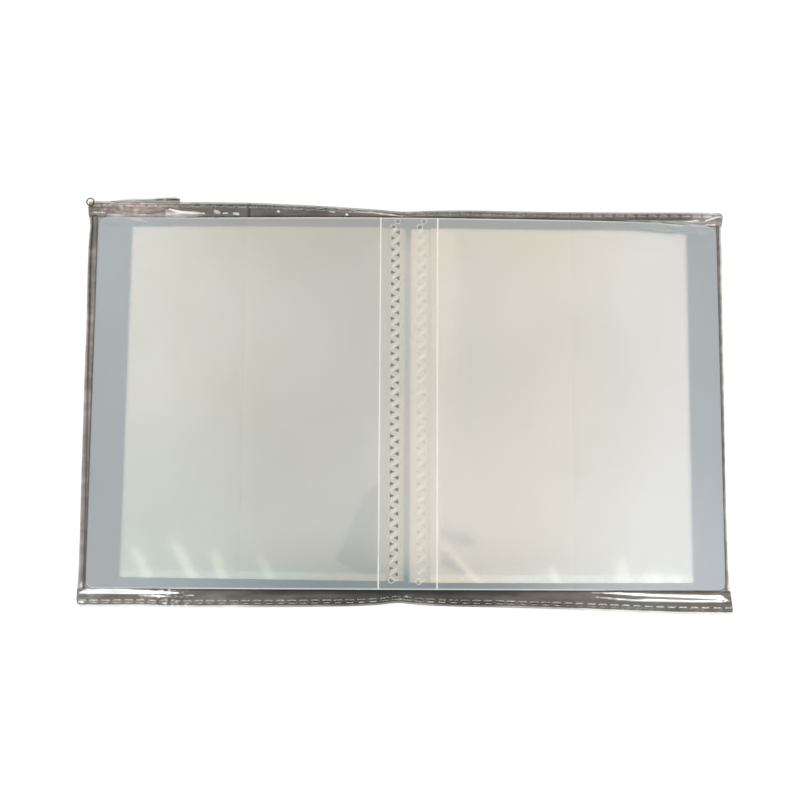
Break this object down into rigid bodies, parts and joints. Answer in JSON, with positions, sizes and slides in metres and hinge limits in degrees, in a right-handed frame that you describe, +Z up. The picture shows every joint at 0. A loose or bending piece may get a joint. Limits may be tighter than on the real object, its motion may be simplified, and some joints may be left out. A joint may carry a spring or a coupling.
{
  "type": "display book",
  "caption": "Pocket display book lying open: creased sheet cover, two welded banks of clear pocket leaves, and a soft clear slip-on jacket with dash-welded hems.",
  "frame": {"origin": "on the table, under the middle of the spine, with the book lying open and its pockets up", "axes": "+X from the spine to the right cover, +Y to the open ends of the pockets, +Z up"},
  "size_m": [0.2872, 0.1797, 0.007],
  "materials": {
    "cover_sheet": "frosted translucent blue-grey sheet with whitened score folds",
    "pocket_film": "thin clear film, milky in a stack",
    "jacket_film": "soft glossy clear film",
    "jacket_hem": "soft glossy film, welded and creased, smoky in reflection"
  },
  "bodies": {
    "left_cover": {"cover_left": "cover_sheet", "jacket_film_left": "jacket_film", "jacket_flap_left": "jacket_film", "hem_top_left": "jacket_hem", "hem_bottom_left": "jacket_hem"},
    "spine": {"cover_spine": "cover_sheet", "jacket_film_spine": "jacket_film", "hem_top_spine": "jacket_hem", "hem_bottom_spine": "jacket_hem", "leaf_flange_left": "pocket_film", "leaf_flange_right": "pocket_film"},
    "right_cover": {"cover_right": "cover_sheet", "jacket_film_right": "jacket_film", "jacket_flap_right": "jacket_film", "hem_top_right": "jacket_hem", "hem_bottom_right": "jacket_hem"},
    "left_leaf_01": {"leaf_left_01": "pocket_film"},
    "left_leaf_02": {"leaf_left_02": "pocket_film"},
    "left_leaf_03": {"leaf_left_03": "pocket_film"},
    "left_leaf_04": {"leaf_left_04": "pocket_film"},
    "left_leaf_05": {"leaf_left_05": "pocket_film"},
    "left_leaf_06": {"leaf_left_06": "pocket_film"},
    "left_leaf_07": {"leaf_left_07": "pocket_film"},
    "left_leaf_08": {"leaf_left_08": "pocket_film"},
    "left_leaf_09": {"leaf_left_09": "pocket_film"},
    "left_leaf_10": {"leaf_left_10": "pocket_film"},
    "right_leaf_01": {"leaf_right_01": "pocket_film"},
    "right_leaf_02": {"leaf_right_02": "pocket_film"},
    "right_leaf_03": {"leaf_right_03": "pocket_film"},
    "right_leaf_04": {"leaf_right_04": "pocket_film"},
    "right_leaf_05": {"leaf_right_05": "pocket_film"},
    "right_leaf_06": {"leaf_right_06": "pocket_film"},
    "right_leaf_07": {"leaf_right_07": "pocket_film"},
    "right_leaf_08": {"leaf_right_08": "pocket_film"},
    "right_leaf_09": {"leaf_right_09": "pocket_film"},
    "right_leaf_10": {"leaf_right_10": "pocket_film"}
  },
  "joints": [
    {"name": "spine_fold", "type": "hinge", "parent": "left_cover", "child": "spine", "pos_m": [-0.01275, 0, 0.0013], "axis": [0, -1, 0], "range_deg": [0, 90]},
    {"name": "right_cover_fold", "type": "hinge", "parent": "spine", "child": "right_cover", "pos_m": [0.01275, 0, 0.0013], "axis": [0, -1, 0], "range_deg": [0, 90]},
    {"name": "left_bank_fold", "type": "hinge", "parent": "spine", "child": "left_leaf_01", "pos_m": [-0.0093, 0, 0.0046], "axis": [0, 1, 0], "range_deg": [0, 90]},
    {"name": "right_bank_fold", "type": "hinge", "parent": "spine", "child": "right_leaf_01", "pos_m": [0.0093, 0, 0.0046], "axis": [0, -1, 0], "range_deg": [0, 90]},
    {"name": "left_leaf_02_turn", "type": "hinge", "parent": "left_leaf_01", "child": "left_leaf_02", "pos_m": [-0.0096, 0, 0.0027], "axis": [0, -1, 0], "range_deg": [-9.5, 0]},
    {"name": "left_leaf_03_turn", "type": "hinge", "parent": "left_leaf_02", "child": "left_leaf_03", "pos_m": [-0.0096, 0, 0.0032], "axis": [0, -1, 0], "range_deg": [-9.5, 0]},
    {"name": "left_leaf_04_turn", "type": "hinge", "parent": "left_leaf_03", "child": "left_leaf_04", "pos_m": [-0.0096, 0, 0.0037], "axis": [0, -1, 0], "range_deg": [-9.5, 0]},
    {"name": "left_leaf_05_turn", "type": "hinge", "parent": "left_leaf_04", "child": "left_leaf_05", "pos_m": [-0.0096, 0, 0.0042], "axis": [0, -1, 0], "range_deg": [-9.5, 0]},
    {"name": "left_leaf_06_turn", "type": "hinge", "parent": "left_leaf_05", "child": "left_leaf_06", "pos_m": [-0.0096, 0, 0.0047], "axis": [0, -1, 0], "range_deg": [-9.5, 0]},
    {"name": "left_leaf_07_turn", "type": "hinge", "parent": "left_leaf_06", "child": "left_leaf_07", "pos_m": [-0.0096, 0, 0.0052], "axis": [0, -1, 0], "range_deg": [-9.5, 0]},
    {"name": "left_leaf_08_turn", "type": "hinge", "parent": "left_leaf_07", "child": "left_leaf_08", "pos_m": [-0.0096, 0, 0.0057], "axis": [0, -1, 0], "range_deg": [-9.5, 0]},
    {"name": "left_leaf_09_turn", "type": "hinge", "parent": "left_leaf_08", "child": "left_leaf_09", "pos_m": [-0.0096, 0, 0.0062], "axis": [0, -1, 0], "range_deg": [-9.5, 0]},
    {"name": "left_leaf_10_turn", "type": "hinge", "parent": "left_leaf_09", "child": "left_leaf_10", "pos_m": [-0.0096, 0, 0.0067], "axis": [0, -1, 0], "range_deg": [-9.5, 0]},
    {"name": "right_leaf_02_turn", "type": "hinge", "parent": "right_leaf_01", "child": "right_leaf_02", "pos_m": [0.0096, 0, 0.0027], "axis": [0, 1, 0], "range_deg": [-9.5, 0]},
    {"name": "right_leaf_03_turn", "type": "hinge", "parent": "right_leaf_02", "child": "right_leaf_03", "pos_m": [0.0096, 0, 0.0032], "axis": [0, 1, 0], "range_deg": [-9.5, 0]},
    {"name": "right_leaf_04_turn", "type": "hinge", "parent": "right_leaf_03", "child": "right_leaf_04", "pos_m": [0.0096, 0, 0.0037], "axis": [0, 1, 0], "range_deg": [-9.5, 0]},
    {"name": "right_leaf_05_turn", "type": "hinge", "parent": "right_leaf_04", "child": "right_leaf_05", "pos_m": [0.0096, 0, 0.0042], "axis": [0, 1, 0], "range_deg": [-9.5, 0]},
    {"name": "right_leaf_06_turn", "type": "hinge", "parent": "right_leaf_05", "child": "right_leaf_06", "pos_m": [0.0096, 0, 0.0047], "axis": [0, 1, 0], "range_deg": [-9.5, 0]},
    {"name": "right_leaf_07_turn", "type": "hinge", "parent": "right_leaf_06", "child": "right_leaf_07", "pos_m": [0.0096, 0, 0.0052], "axis": [0, 1, 0], "range_deg": [-9.5, 0]},
    {"name": "right_leaf_08_turn", "type": "hinge", "parent": "right_leaf_07", "child": "right_leaf_08", "pos_m": [0.0096, 0, 0.0057], "axis": [0, 1, 0], "range_deg": [-9.5, 0]},
    {"name": "right_leaf_09_turn", "type": "hinge", "parent": "right_leaf_08", "child": "right_leaf_09", "pos_m": [0.0096, 0, 0.0062], "axis": [0, 1, 0], "range_deg": [-9.5, 0]},
    {"name": "right_leaf_10_turn", "type": "hinge", "parent": "right_leaf_09", "child": "right_leaf_10", "pos_m": [0.0096, 0, 0.0067], "axis": [0, 1, 0], "range_deg": [-9.5, 0]}
  ],
  "couplings": [
    {"joint": "left_bank_fold", "follows": "spine_fold", "ratio": 1},
    {"joint": "right_bank_fold", "follows": "right_cover_fold", "ratio": 1}
  ]
}
